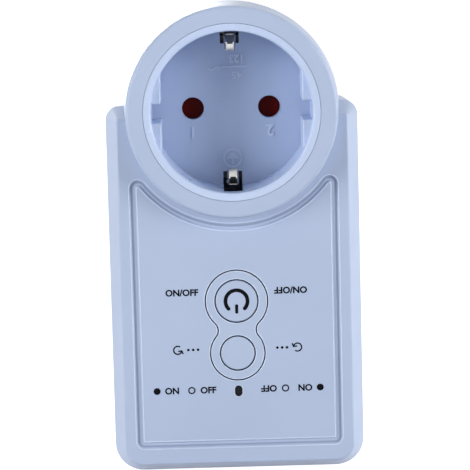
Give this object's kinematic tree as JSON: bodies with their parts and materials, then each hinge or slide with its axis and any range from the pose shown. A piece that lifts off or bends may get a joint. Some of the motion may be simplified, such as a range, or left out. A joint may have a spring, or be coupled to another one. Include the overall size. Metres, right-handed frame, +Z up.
{
  "type": "smart plug",
  "caption": "Plug-in mains adapter with a round earthed socket, push buttons, a status light and a rear earthed plug; a network relay inside switches the socket.",
  "frame": {"origin": "centre of the rear plug's end face, on the axis that the plug and the socket share", "axes": "+Y out of the rear plug along its pins, +Z up with the buttons below the socket, +X to the right seen from the front"},
  "size_m": [0.0624, 0.076, 0.1169],
  "materials": {
    "casing": "satin moulded, pale blue",
    "buttons": "satin moulded, pale blue",
    "light_guide": "smoked, glossy",
    "shutter": "dark red, glossy",
    "carrier": "moulded, natural white",
    "plug": "satin moulded, pale blue",
    "plated_steel": "nickel plated strip",
    "plug_pin": "nickel plated, polished",
    "contact_brass": "stamped",
    "spring_steel": "drawn wire",
    "screw_steel": "zinc plated",
    "circuit_board": "green solder mask",
    "relay_case": "moulded, dark blue",
    "black_plastic": "moulded, black",
    "film_box": "moulded box, yellow",
    "disc_coat": "dipped, blue",
    "can": "sleeved can",
    "core": "ferrite with taped winding",
    "shield": "stamped, tinned",
    "card": "plain white",
    "antenna_film": "printed film",
    "lamp": "clear tinted green",
    "live_wire": "brown sleeve",
    "neutral_wire": "blue sleeve",
    "lead_jacket": "black sleeve"
  },
  "bodies": {
    "case": {"front_cover": "casing", "rear_cover": "casing", "socket_cup": "casing", "button_surround": "casing", "light_guide": "light_guide", "contact_carrier": "carrier", "plug_body": "plug", "upper_plug_earth_strip": "plated_steel", "lower_plug_earth_strip": "plated_steel", "earth_bridge": "plated_steel", "live_plug_pin": "plug_pin", "neutral_plug_pin": "plug_pin", "live_socket_contact": "contact_brass", "neutral_socket_contact": "contact_brass", "shutter_spring": "spring_steel", "case_screws": "screw_steel", "board_screws": "screw_steel", "cup_screws": "screw_steel", "carrier_screws": "screw_steel", "main_board": "circuit_board", "network_module": "circuit_board", "relay": "relay_case", "power_switch_body": "black_plastic", "reset_switch_body": "black_plastic", "controller_chip": "black_plastic", "voltage_regulator": "black_plastic", "bridge_rectifier": "black_plastic", "fuse": "black_plastic", "safety_capacitor": "film_box", "varistor": "disc_coat", "input_capacitor": "can", "output_capacitor": "can", "choke": "core", "transformer": "core", "module_shield": "shield", "card_holder": "shield", "antenna": "antenna_film", "status_lamp": "lamp", "live_input_wire": "live_wire", "live_output_wire": "live_wire", "neutral_input_wire": "neutral_wire", "neutral_output_wire": "neutral_wire", "antenna_lead": "lead_jacket"},
    "power_press": {"power_button": "buttons", "power_switch_plunger": "black_plastic"},
    "reset_press": {"reset_button": "buttons", "reset_switch_plunger": "black_plastic"},
    "shutter_plate": {"shutter": "shutter"},
    "upper_clip": {"upper_earth_clip": "plated_steel"},
    "lower_clip": {"lower_earth_clip": "plated_steel"},
    "card": {"sim_card": "card"}
  },
  "joints": [
    {"name": "power_press", "type": "slide", "parent": "case", "child": "power_press", "axis": [0, 1, 0], "range_m": [0, 0.0003], "stiffness_N_per_m": 300},
    {"name": "reset_press", "type": "slide", "parent": "case", "child": "reset_press", "axis": [0, 1, 0], "range_m": [0, 0.0003], "stiffness_N_per_m": 300},
    {"name": "shutter_turn", "type": "hinge", "parent": "case", "child": "shutter_plate", "pos_m": [0, -0.0359, 0], "axis": [0, 1, 0], "range_deg": [0, 38], "stiffness_Nm_per_rad": 0.001, "deforming": ["shutter_spring"]},
    {"name": "upper_clip_flex", "type": "hinge", "parent": "case", "child": "upper_clip", "pos_m": [0, -0.0393, 0.0186], "axis": [-1, 0, 0], "range_deg": [0, 5], "stiffness_Nm_per_rad": 0.02},
    {"name": "lower_clip_flex", "type": "hinge", "parent": "case", "child": "lower_clip", "pos_m": [0, -0.0393, -0.0186], "axis": [1, 0, 0], "range_deg": [0, 5], "stiffness_Nm_per_rad": 0.02},
    {"name": "card_slide", "type": "slide", "parent": "case", "child": "card", "axis": [1, 0, 0], "range_m": [0, 0.025]}
  ]
}
